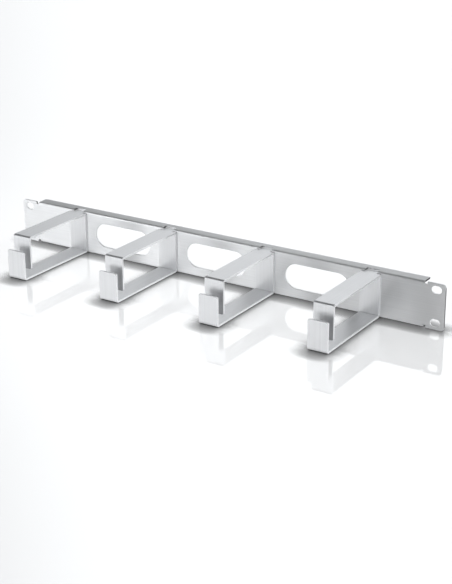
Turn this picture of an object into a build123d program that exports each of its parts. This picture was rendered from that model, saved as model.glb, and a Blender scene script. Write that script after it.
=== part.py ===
from build123d import *
import os

# 19-inch, one-unit horizontal cable manager.
# One folded sheet-metal panel carries four open cable rings, each a folded strip.
# Millimetres, +Z up, front towards -Y. Shapes are drawn with the panel's front face
# on Y = 0, and are saved with the origin in the middle of the panel's back face,
# the face that lands on the rack's rails.

# Panel: overall size and the ears.
PANEL_WIDTH = 482.6
PANEL_HEIGHT = 44.0
PANEL_SHEET = 1.5
PANEL_BEND_INNER = 0.5
EAR_LENGTH = 20.8
EAR_CORNER_RADIUS = 3.0

# Panel: the two flanges folded back along the top and bottom edges, between the ears.
FLANGE_DEPTH = 12.0
RELIEF_WIDTH = 3.0
RELIEF_PAST_BEND = 0.5

# Rack mounting slots, EIA-310 one-unit pattern: 465.1 apart across the rack.
SLOT_FROM_END = 8.75
SLOT_SPACING_Z = 31.75
SLOT_LENGTH = 10.0
SLOT_HEIGHT = 7.5

# Obround openings that pass cables through the panel, each midway between two rings.
OPENING_LENGTH = 68.0
OPENING_HEIGHT = 25.0

# Cable rings: how many, where the end ones stand, and the strip they are folded from.
RING_COUNT = 4
RING_FROM_END = 73.3
STRIP_WIDTH = 20.0
STRIP_THICKNESS = 2.0
STRIP_BEND_INNER = 0.5
STRIP_END_RADIUS = 1.5

# Cable rings: the folded shape, which stands RING_DEPTH out from the panel's face.
# A cable goes in behind the outer lip and then under the inner lip.
RING_TOP_BELOW_EDGE = 1.5
RING_BOTTOM_ABOVE_EDGE = 0.5
RING_DEPTH = 100.0
OUTER_LIP_HEIGHT = 29.0
ENTRY_GAP = 8.0
UNDER_LIP_GAP = 7.0

# Locating tab: the middle of each ring's top arm runs straight on past its bend.
TAB_WIDTH = 12.0
TAB_REACH = 5.0
TAB_TIP_RADIUS = 1.0

# Notch in the panel's top bend that takes the tab.
NOTCH_SIDE_GAP = 0.3
NOTCH_END_GAP = 0.5
NOTCH_UNDER_GAP = 0.3

HALF_HEIGHT = PANEL_HEIGHT / 2
HALF_FLANGE = PANEL_WIDTH / 2 - EAR_LENGTH
SLOT_X = PANEL_WIDTH / 2 - SLOT_FROM_END
RING_FIRST = RING_FROM_END - PANEL_WIDTH / 2
RING_PITCH = -2 * RING_FIRST / (RING_COUNT - 1)
RING_CENTRES = [RING_FIRST + RING_PITCH * index for index in range(RING_COUNT)]
OPENING_CENTRES = [x + RING_PITCH / 2 for x in RING_CENTRES[:-1]]
PANEL_BEND_OUTER = PANEL_BEND_INNER + PANEL_SHEET
STRIP_BEND_OUTER = STRIP_BEND_INNER + STRIP_THICKNESS
RING_TOP = HALF_HEIGHT - RING_TOP_BELOW_EDGE
RING_BOTTOM = -HALF_HEIGHT + RING_BOTTOM_ABOVE_EDGE
OUTER_LIP_TOP = RING_BOTTOM + OUTER_LIP_HEIGHT
INNER_LIP_FRONT = -RING_DEPTH + STRIP_THICKNESS + ENTRY_GAP
INNER_LIP_END = RING_BOTTOM + STRIP_THICKNESS + UNDER_LIP_GAP
CUT_MARGIN = 5.0


def left_of(start, end):
    """Unit direction to the left of the run from start to end."""
    along = (end - start).normalized()
    return Vector(-along.Y, along.X)


def round_corners(face, corners, radius):
    """Fillet those vertices of a flat face that lie on the given corners."""
    picked = []
    for vertex in face.vertices():
        if any((Vector(vertex) - corner).length < 0.001 for corner in corners):
            picked.append(vertex)
    return fillet(picked, radius=radius)


def folded_section(points, thickness, bend_inner):
    """Section of a folded sheet whose outside runs through the (Y, Z) points.

    The sheet lies to the left of that run, and every bend is a left turn of 90 degrees.
    """
    outside = [Vector(y, z) for y, z in points]
    sides = [left_of(a, b) for a, b in zip(outside, outside[1:])]
    shifts = [sides[0]] + [a + b for a, b in zip(sides, sides[1:])] + [sides[-1]]
    inside = [point + shift * thickness for point, shift in zip(outside, shifts)]
    face = make_face(Polyline(*outside, *reversed(inside), close=True))
    face = round_corners(face, outside[1:-1], bend_inner + thickness)
    face = round_corners(face, inside[1:-1], bend_inner)
    return Plane.YZ * face


def box_between(x_range, y_range, z_range):
    """Box given by its limits along X, Y and Z."""
    size = [high - low for low, high in (x_range, y_range, z_range)]
    middle = [(high + low) / 2 for low, high in (x_range, y_range, z_range)]
    return Pos(*middle) * Box(*size)


def obround_cutter(x, z, length, height, depth):
    """Obround bar along Y, long side along X, that cuts both faces of a sheet."""
    outline = Plane.XZ * Pos(x, z) * SlotOverall(length, height)
    return extrude(outline, amount=depth, both=True)


def channel():
    """Panel body: the front web with a flange folded back at top and bottom."""
    points = [
        (FLANGE_DEPTH, HALF_HEIGHT),
        (0.0, HALF_HEIGHT),
        (0.0, -HALF_HEIGHT),
        (FLANGE_DEPTH, -HALF_HEIGHT),
    ]
    section = folded_section(points, PANEL_SHEET, PANEL_BEND_INNER)
    return extrude(section, amount=HALF_FLANGE, both=True, dir=(1, 0, 0))


def ears():
    """Flat plate behind both ears, relieved where the folded flanges end."""
    outline = Plane.XZ * RectangleRounded(PANEL_WIDTH, PANEL_HEIGHT, EAR_CORNER_RADIUS)
    plate = extrude(outline, amount=-PANEL_SHEET)
    half_relief = HALF_FLANGE + RELIEF_WIDTH
    relief_level = HALF_HEIGHT - PANEL_BEND_OUTER - RELIEF_PAST_BEND
    y_range = (-CUT_MARGIN, FLANGE_DEPTH)
    for low, high in ((relief_level, HALF_HEIGHT), (-HALF_HEIGHT, -relief_level)):
        plate -= box_between((-half_relief, half_relief), y_range, (low, high))
    return plate


def tab_notch(x):
    """Room for one tab through the panel's top bend and into its flange."""
    half = TAB_WIDTH / 2 + NOTCH_SIDE_GAP
    floor = RING_TOP - STRIP_THICKNESS - NOTCH_UNDER_GAP
    back = TAB_REACH + NOTCH_END_GAP
    return box_between((x - half, x + half), (-CUT_MARGIN, back), (floor, PANEL_HEIGHT))


def front_panel():
    """The folded panel with its slots, openings and tab notches."""
    panel = channel() + ears()
    for x in (-SLOT_X, SLOT_X):
        for z in (-SLOT_SPACING_Z / 2, SLOT_SPACING_Z / 2):
            panel -= obround_cutter(x, z, SLOT_LENGTH, SLOT_HEIGHT, CUT_MARGIN)
    for x in OPENING_CENTRES:
        panel -= obround_cutter(x, 0.0, OPENING_LENGTH, OPENING_HEIGHT, CUT_MARGIN)
    for x in RING_CENTRES:
        panel -= tab_notch(x)
    return panel


def ring_strip():
    """One ring as a plain folded strip, centred on X = 0."""
    points = [
        (-RING_DEPTH, OUTER_LIP_TOP),
        (-RING_DEPTH, RING_BOTTOM),
        (0.0, RING_BOTTOM),
        (0.0, RING_TOP),
        (INNER_LIP_FRONT, RING_TOP),
        (INNER_LIP_FRONT, INNER_LIP_END),
    ]
    section = folded_section(points, STRIP_THICKNESS, STRIP_BEND_INNER)
    return extrude(section, amount=STRIP_WIDTH / 2, both=True, dir=(1, 0, 0))


def rounded_free_ends(strip):
    """Round the corners of the two lips where the strip ends."""
    short_edges = strip.edges().filter_by(Axis.Y)
    corners = [edge for edge in short_edges if edge.length < 1.01 * STRIP_THICKNESS]
    return fillet(corners, radius=STRIP_END_RADIUS)


def tab():
    """The tab itself: the top arm carried straight on past the panel's face."""
    y_range = (-STRIP_BEND_OUTER, TAB_REACH)
    z_range = (RING_TOP - STRIP_THICKNESS, RING_TOP)
    blank = box_between((-TAB_WIDTH / 2, TAB_WIDTH / 2), y_range, z_range)
    tip = blank.edges().filter_by(Axis.Z).group_by(Axis.Y)[-1]
    return fillet(tip, radius=TAB_TIP_RADIUS)


def cable_ring():
    """One open cable ring with its locating tab."""
    return rounded_free_ends(ring_strip()) + tab()


def save(solid, node):
    """Write one node as a STEP file, with the origin moved to the panel's back face."""
    placed = Pos(0, -PANEL_SHEET, 0) * solid
    placed.label = node
    export_step(placed, os.path.join("parts", node + ".step"))


def main():
    os.makedirs("parts", exist_ok=True)
    save(front_panel().solid(), "front_panel")
    ring = cable_ring().solid()
    for index, x in enumerate(RING_CENTRES, start=1):
        save(Pos(x, 0, 0) * ring, "cable_ring_%d" % index)


main()
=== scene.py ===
import bpy
import math
from mathutils import Matrix, Vector


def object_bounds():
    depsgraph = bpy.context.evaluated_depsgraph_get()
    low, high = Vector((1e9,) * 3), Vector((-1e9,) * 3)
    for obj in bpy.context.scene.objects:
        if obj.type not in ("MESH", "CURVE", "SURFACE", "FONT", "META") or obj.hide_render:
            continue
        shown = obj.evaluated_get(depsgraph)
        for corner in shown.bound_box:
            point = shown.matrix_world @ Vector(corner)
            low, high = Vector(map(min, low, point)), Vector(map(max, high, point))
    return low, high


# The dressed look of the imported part: brushed steel, a pale glossy floor, soft studio
# light and the photograph's camera. Metres and degrees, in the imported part's own frame.

# Camera, worked out from the photograph: the direction it looks from, and the pixel and
# the distance at which it sees the middle of the panel's front face. Size, focal length
# and target on the picture are in pixels, and the sensor's longer side in millimetres.
PHOTO_SIZE = (452, 584)
PHOTO_FOCAL = 1373.4
SENSOR_SIDE = 36.0
CAMERA_AZIMUTH = 32.52
CAMERA_ELEVATION = 21.34
CAMERA_ROLL = -0.244
TARGET = Vector((0.0, -0.0015, 0.0))
TARGET_PIXEL = (215.9, 259.66)
TARGET_DISTANCE = 1.33686

# Floor: its half side, how pale it is, how much of it is mirror, and the shade that the
# camera sees on it where the part is closer than the contact reach.
FLOOR_HALF_SIDE = 30.0
FLOOR_LIGHT = 0.93
FLOOR_GLOSS = 0.36
FLOOR_ROUGHNESS = 0.05
CONTACT_REACH = 0.0195
CONTACT_DEPTH = 0.98
CONTACT_POWER = 0.30
CONTACT_SAMPLES = 16

# World: a dim dome with four brighter parts. A pale wall runs from behind the part round
# its right side and past the front, a tall window stands at the front left, a soft round
# screen at the left, and a small ceiling hangs over the part. Azimuths count to the left,
# from straight behind or from straight before the part.
BEHIND = 1.0
BEFORE = -1.0
DOME_COLOUR = (0.972, 0.99, 1.008, 1.0)
DOME_DIM = 0.07
WALL_BRIGHT = 1.08
WALL_REAR_END = 45.0
WALL_FRONT_END = 13.0
WALL_END_BLUR = 9.0
WALL_BRIGHT_BELOW = 42.0
WALL_DIM_ABOVE = 70.0
WINDOW_BRIGHT = 3.6
WINDOW_AZIMUTH = 36.3
WINDOW_BRIGHT_WITHIN = 2.0
WINDOW_DIM_PAST = 9.8
WINDOW_BRIGHT_BELOW = 24.0
WINDOW_DIM_ABOVE = 44.0
SCREEN_BRIGHT = 0.8
SCREEN_TOWARD = Vector((-1.0, -0.1, 0.1))
SCREEN_BRIGHT_WITHIN = 14.0
SCREEN_DIM_PAST = 50.0
CEILING_BRIGHT = 0.7
CEILING_BRIGHT_ABOVE = 84.0
CEILING_DIM_BELOW = 66.0

# The window's band of directions would also run up behind the part. It fades out over
# this much of a unit direction's Y, to either side of straight left and right.
BEFORE_BLUR = 0.2

# Lamps: they light the floor and aren't seen in reflections.
UP = Vector((0.0, 0.0, 1.0))
SUN_STRENGTH = 0.8
SUN_ANGLE = 60.0
SUN_FROM = Vector((-0.3, -0.2, 1.0))
FILL_STRENGTH = 0.8
POOL_LAMP_PLACE = Vector((-0.1, -0.08, 0.35))
POOL_LAMP_SIDE = 0.3
POOL_LAMP_POWER = 0.3

# Steel: tints, the low and high ends of what grain, streaks and mottling multiply them
# by, the roughness in and between streaks, and how far the gloss is drawn out.
PANEL_TINT = (0.67, 0.673, 0.677)
RING_TINT = (0.68, 0.684, 0.692)
GRAIN_GAIN = (0.96, 1.04)
STREAK_GAIN = (0.955, 1.045)
MOTTLE_GAIN = (0.98, 1.02)
STEEL_ROUGHNESS = (0.34, 0.44)
PANEL_ANISOTROPY = 0.85
RING_ANISOTROPY = 0.35

# The way the panel is brushed, noise scales per metre along and across the brushing, and
# the part of a noise's range that is spread over a gain.
PANEL_GRAIN = (1.0, 0.0, 0.0)
GRAIN_ALONG = 18.0
GRAIN_ACROSS = 2600.0
GRAIN_DETAIL = 3.0
STREAK_ALONG = 5.0
STREAK_ACROSS = 700.0
STREAK_DETAIL = 2.0
BRUSHED_NOISE_ROUGHNESS = 0.6
MOTTLE_SCALE = 35.0
MOTTLE_DETAIL = 2.0
MOTTLE_NOISE_ROUGHNESS = 0.5
NOISE_MIDDLE = (0.25, 0.75)

# Relief of the grain, and the edges: the radius at which they look rounded, and the
# cosines of the turn at which the painted edge highlight starts and is full.
GRAIN_RELIEF = 0.25
GRAIN_DEPTH = 0.00003
EDGE_RADIUS = 0.0003
EDGE_SAMPLES = 6
EDGE_HIGHLIGHT_GAIN = 1.12
EDGE_HIGHLIGHT_TURN = (0.995, 0.90)

# Painted highlight on the cut faces: how much brighter they are, and how squarely a face has
# to look along X.
CUT_FACE_HIGHLIGHT_GAIN = 1.28
CUT_FACE_SQUARENESS = (0.7, 0.9)


def sine(angle):
    """Sine of an angle in degrees."""
    return math.sin(math.radians(angle))


def cosine(angle):
    """Cosine of an angle in degrees."""
    return math.cos(math.radians(angle))


def add(tree, kind, inputs=None, **settings):
    """Add a shader node; an input takes a value or the output that feeds it."""
    made = tree.nodes.new(kind)
    for name, value in settings.items():
        setattr(made, name, value)
    for name, value in (inputs or {}).items():
        if isinstance(value, bpy.types.NodeSocket):
            tree.links.new(value, made.inputs[name])
        else:
            made.inputs[name].default_value = value
    return made


def empty_tree(owner):
    """Turn on an owner's node tree and clear it."""
    owner.use_nodes = True
    owner.node_tree.nodes.clear()
    return owner.node_tree


def maths(tree, operation, a, b=0.0, **settings):
    """Result of a maths node."""
    made = add(tree, "ShaderNodeMath", {0: a, 1: b}, operation=operation, **settings)
    return made.outputs["Value"]


def product(tree, a, b):
    """Two values multiplied."""
    return maths(tree, "MULTIPLY", a, b)


def larger(tree, a, b):
    """The larger of two values."""
    return maths(tree, "MAXIMUM", a, b)


def dot(tree, a, b):
    """Cosine of the angle between two directions."""
    made = add(tree, "ShaderNodeVectorMath", {0: a, 1: b}, operation="DOT_PRODUCT")
    return made.outputs["Value"]


def map_range(tree, value, source, target, **settings):
    """Carry a value from one range onto another, held at its ends."""
    made = add(tree, "ShaderNodeMapRange", {
        "Value": value, "From Min": source[0], "From Max": source[1],
        "To Min": target[0], "To Max": target[1]}, **settings)
    return made.outputs["Result"]


def smooth_range(tree, value, source, target):
    """Carry a value from one range onto another, easing at both ends."""
    return map_range(tree, value, source, target, interpolation_type="SMOOTHSTEP")


def mapped_noise(tree, scale, detail, roughness):
    """Noise on the part's own coordinates, stretched by a scale per axis."""
    where = add(tree, "ShaderNodeTexCoord").outputs["Object"]
    stretch = add(tree, "ShaderNodeMapping", {"Vector": where, "Scale": scale})
    noise = add(tree, "ShaderNodeTexNoise", {
        "Vector": stretch.outputs["Vector"], "Scale": 1.0,
        "Detail": detail, "Roughness": roughness})
    return noise.outputs["Fac"]


def spread(tree, noise, target):
    """Carry the middle of a noise's range onto a target range."""
    return map_range(tree, noise, NOISE_MIDDLE, target)


def along_x(along, across):
    """Noise scale for a grain that runs along X."""
    return (along, across, across)


def across_x(along, across):
    """Noise scale for a grain that runs square to X."""
    return (across, along, along)


def surface_normal(tree):
    """Normal of the surface as it is modelled."""
    return add(tree, "ShaderNodeNewGeometry").outputs["Normal"]


def across_panel_grain(tree):
    """Direction square to the panel's grain, in the surface."""
    made = add(tree, "ShaderNodeVectorMath", {0: surface_normal(tree), 1: PANEL_GRAIN},
               operation="CROSS_PRODUCT")
    return made.outputs["Vector"]


def across_ring_grain(tree):
    """Direction square to a ring's grain: the strip's width, along X."""
    return add(tree, "ShaderNodeCombineXYZ", {"X": 1.0}).outputs["Vector"]


def painted_edge_highlight(tree, rounded):
    """Painted highlight: brighter colour where the rounded normal turns away, on edges and
    corners.
    """
    turn = dot(tree, surface_normal(tree), rounded)
    return map_range(tree, turn, EDGE_HIGHLIGHT_TURN, (1.0, EDGE_HIGHLIGHT_GAIN))


def painted_cut_face_highlight(tree):
    """Painted highlight: brighter colour on the faces where the sheet was cut square to X."""
    parts = add(tree, "ShaderNodeSeparateXYZ", {"Vector": surface_normal(tree)})
    squareness = maths(tree, "ABSOLUTE", parts.outputs["X"])
    return map_range(tree, squareness, CUT_FACE_SQUARENESS, (1.0, CUT_FACE_HIGHLIGHT_GAIN))


def steel(name, tint, grain_way, across_grain, anisotropy):
    """Brushed steel: fine grain, streaks, faint mottling, and painted highlights on edges and
    cut faces.
    """
    material = bpy.data.materials.new(name)
    tree = empty_tree(material)
    grain = mapped_noise(tree, grain_way(GRAIN_ALONG, GRAIN_ACROSS),
                         GRAIN_DETAIL, BRUSHED_NOISE_ROUGHNESS)
    streaks = mapped_noise(tree, grain_way(STREAK_ALONG, STREAK_ACROSS),
                           STREAK_DETAIL, BRUSHED_NOISE_ROUGHNESS)
    mottle = mapped_noise(tree, (MOTTLE_SCALE,) * 3, MOTTLE_DETAIL, MOTTLE_NOISE_ROUGHNESS)
    rounded = add(tree, "ShaderNodeBevel", {"Radius": EDGE_RADIUS},
                  samples=EDGE_SAMPLES).outputs["Normal"]
    shade = product(tree, spread(tree, grain, GRAIN_GAIN), spread(tree, streaks, STREAK_GAIN))
    shade = product(tree, shade, spread(tree, mottle, MOTTLE_GAIN))
    # Painted highlights: the colour is made brighter on edges and on the cut faces.
    shade = product(tree, shade, product(tree, painted_edge_highlight(tree, rounded), painted_cut_face_highlight(tree)))
    colour = add(tree, "ShaderNodeVectorMath", {0: tint, "Scale": shade}, operation="SCALE")
    bump = add(tree, "ShaderNodeBump", {
        "Strength": GRAIN_RELIEF, "Distance": GRAIN_DEPTH, "Height": grain,
        "Normal": rounded})
    shader = add(tree, "ShaderNodeBsdfPrincipled", {
        "Base Color": colour.outputs["Vector"], "Metallic": 1.0,
        "Roughness": spread(tree, streaks, STEEL_ROUGHNESS), "Anisotropic": anisotropy,
        "Tangent": across_grain(tree), "Normal": bump.outputs["Normal"]})
    add(tree, "ShaderNodeOutputMaterial", {"Surface": shader.outputs["BSDF"]})
    return material


def dress(nodes):
    """Give each CAD node its material."""
    panel = steel("panel_steel", PANEL_TINT, along_x, across_panel_grain, PANEL_ANISOTROPY)
    ring = steel("ring_steel", RING_TINT, across_x, across_ring_grain, RING_ANISOTROPY)
    for name, node in nodes.items():
        node.data.materials.clear()
        node.data.materials.append(panel if name == "front_panel" else ring)


def contact_shade(tree):
    """One in the open, falling where the part is close above or beside the floor."""
    openness = add(tree, "ShaderNodeAmbientOcclusion", {"Distance": CONTACT_REACH},
                   samples=CONTACT_SAMPLES).outputs["AO"]
    closeness = maths(tree, "SUBTRACT", 1.0, openness, use_clamp=True)
    depth = maths(tree, "POWER", closeness, CONTACT_POWER)
    return map_range(tree, depth, (0.0, 1.0), (1.0, 1.0 - CONTACT_DEPTH))


def floor_material():
    """Glossy white floor on which only the camera sees the contact shade."""
    material = bpy.data.materials.new("floor")
    tree = empty_tree(material)
    to_camera = add(tree, "ShaderNodeLightPath").outputs["Is Camera Ray"]
    shade = add(tree, "ShaderNodeMix", {
        "Factor": to_camera, "A": 1.0, "B": contact_shade(tree)}).outputs["Result"]
    matt = add(tree, "ShaderNodeBsdfDiffuse", {"Color": product(tree, shade, FLOOR_LIGHT)})
    mirror = add(tree, "ShaderNodeBsdfAnisotropic", {
        "Color": shade, "Roughness": FLOOR_ROUGHNESS})
    both = add(tree, "ShaderNodeMixShader", {
        "Fac": FLOOR_GLOSS, 1: matt.outputs["BSDF"], 2: mirror.outputs["BSDF"]})
    add(tree, "ShaderNodeOutputMaterial", {"Surface": both.outputs["Shader"]})
    return material


def make_floor(level):
    """Flat square floor under the part."""
    side = FLOOR_HALF_SIDE
    corners = [(-side, -side, level), (side, -side, level),
               (side, side, level), (-side, side, level)]
    mesh = bpy.data.meshes.new("floor")
    mesh.from_pydata(corners, [], [(0, 1, 2, 3)])
    mesh.materials.append(floor_material())
    floor = bpy.data.objects.new("floor", mesh)
    bpy.context.scene.collection.objects.link(floor)


def height_light(tree, height, bright_at, dim_at, bright):
    """Brightness that fades out between two angles above the horizon."""
    return smooth_range(tree, height, (sine(dim_at), sine(bright_at)), (0.0, bright))


def rightward(azimuth, way):
    """Level direction that points to the right, square to an azimuth behind or before."""
    return Vector((cosine(azimuth), way * sine(azimuth), 0.0))


def right_of(tree, toward, azimuth, way):
    """One to the right of the upright plane at an azimuth, with a soft edge."""
    blur = sine(WALL_END_BLUR)
    side = dot(tree, toward, rightward(azimuth, way))
    return smooth_range(tree, side, (-blur, blur), (0.0, 1.0))


def wall_light(tree, toward, height):
    """Soft-edged wall from behind the part, round its right side and past the front."""
    along = larger(tree, right_of(tree, toward, WALL_REAR_END, BEHIND),
                   right_of(tree, toward, WALL_FRONT_END, BEFORE))
    up = height_light(tree, height, WALL_BRIGHT_BELOW, WALL_DIM_ABOVE, WALL_BRIGHT)
    return product(tree, along, up)


def window_light(tree, toward, height, depth):
    """Tall soft window to the left of the front."""
    aside = dot(tree, toward, rightward(WINDOW_AZIMUTH, BEFORE))
    off = maths(tree, "ABSOLUTE", aside)
    edges = (sine(WINDOW_DIM_PAST), sine(WINDOW_BRIGHT_WITHIN))
    across = smooth_range(tree, off, edges, (0.0, 1.0))
    up = height_light(tree, height, WINDOW_BRIGHT_BELOW, WINDOW_DIM_ABOVE, WINDOW_BRIGHT)
    before = smooth_range(tree, depth, (BEFORE_BLUR, -BEFORE_BLUR), (0.0, 1.0))
    return product(tree, product(tree, across, up), before)


def screen_light(tree, toward):
    """Soft round screen at the left."""
    closeness = dot(tree, toward, SCREEN_TOWARD.normalized())
    edges = (cosine(SCREEN_DIM_PAST), cosine(SCREEN_BRIGHT_WITHIN))
    return smooth_range(tree, closeness, edges, (0.0, SCREEN_BRIGHT))


def make_world():
    """A dim dome with its bright parts."""
    world = bpy.data.worlds.new("studio")
    bpy.context.scene.world = world
    tree = empty_tree(world)
    toward = add(tree, "ShaderNodeTexCoord").outputs["Generated"]
    parts = add(tree, "ShaderNodeSeparateXYZ", {"Vector": toward}).outputs
    height = parts["Z"]
    bright_parts = (
        wall_light(tree, toward, height),
        window_light(tree, toward, height, parts["Y"]),
        screen_light(tree, toward),
        height_light(tree, height, CEILING_BRIGHT_ABOVE, CEILING_DIM_BELOW, CEILING_BRIGHT),
    )
    dome = DOME_DIM
    for light in bright_parts:
        dome = larger(tree, light, dome)
    shader = add(tree, "ShaderNodeBackground", {"Color": DOME_COLOUR, "Strength": dome})
    add(tree, "ShaderNodeOutputWorld", {"Surface": shader.outputs["Background"]})


def add_lamp(name, kind, power, direction):
    """Lamp that shines from a direction and makes no glints."""
    data = bpy.data.lights.new(name, kind)
    data.energy = power
    lamp = bpy.data.objects.new(name, data)
    lamp.rotation_mode = "QUATERNION"
    lamp.rotation_quaternion = direction.to_track_quat("Z", "Y")
    lamp.visible_glossy = False
    bpy.context.scene.collection.objects.link(lamp)
    return lamp


def make_lamps():
    """A broad sun from above, an even fill, and a pool of light over the part."""
    sun = add_lamp("sun", "SUN", SUN_STRENGTH, SUN_FROM)
    sun.data.angle = math.radians(SUN_ANGLE)
    fill = add_lamp("fill", "SUN", FILL_STRENGTH, SUN_FROM)
    fill.data.use_shadow = False
    pool = add_lamp("pool", "AREA", POOL_LAMP_POWER, UP)
    pool.data.size = POOL_LAMP_SIDE
    pool.data.use_shadow = False
    pool.location = POOL_LAMP_PLACE


def camera_axes():
    """The camera's right, up and backward directions."""
    level = cosine(CAMERA_ELEVATION)
    back = Vector((sine(CAMERA_AZIMUTH) * level, -cosine(CAMERA_AZIMUTH) * level,
                   sine(CAMERA_ELEVATION)))
    right = UP.cross(back).normalized()
    roll = Matrix.Rotation(math.radians(CAMERA_ROLL), 3, back)
    return roll @ right, roll @ back.cross(right), back


def make_camera():
    """Camera at the photograph's place, with no lens shift."""
    right, up, back = camera_axes()
    pixel = TARGET_DISTANCE / PHOTO_FOCAL
    aside = (PHOTO_SIZE[0] / 2 - TARGET_PIXEL[0]) * pixel
    above = (TARGET_PIXEL[1] - PHOTO_SIZE[1] / 2) * pixel
    data = bpy.data.cameras.new("camera")
    data.sensor_width = SENSOR_SIDE
    data.lens = PHOTO_FOCAL * SENSOR_SIDE / max(PHOTO_SIZE)
    camera = bpy.data.objects.new("camera", data)
    turn = Matrix((right, up, back)).transposed()
    place = TARGET + right * aside + up * above + back * TARGET_DISTANCE
    camera.matrix_world = Matrix.Translation(place) @ turn.to_4x4()
    bpy.context.scene.collection.objects.link(camera)
    bpy.context.scene.camera = camera


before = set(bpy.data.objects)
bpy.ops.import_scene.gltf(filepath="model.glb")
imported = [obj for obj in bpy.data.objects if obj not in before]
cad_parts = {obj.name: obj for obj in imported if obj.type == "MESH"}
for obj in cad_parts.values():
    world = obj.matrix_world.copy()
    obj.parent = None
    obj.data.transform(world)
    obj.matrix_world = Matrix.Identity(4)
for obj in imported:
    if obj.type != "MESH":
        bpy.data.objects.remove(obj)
cad_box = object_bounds()
dress(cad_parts)
make_floor(cad_box[0].z)
make_world()
make_lamps()
make_camera()
bpy.context.scene.view_settings.view_transform = "Standard"
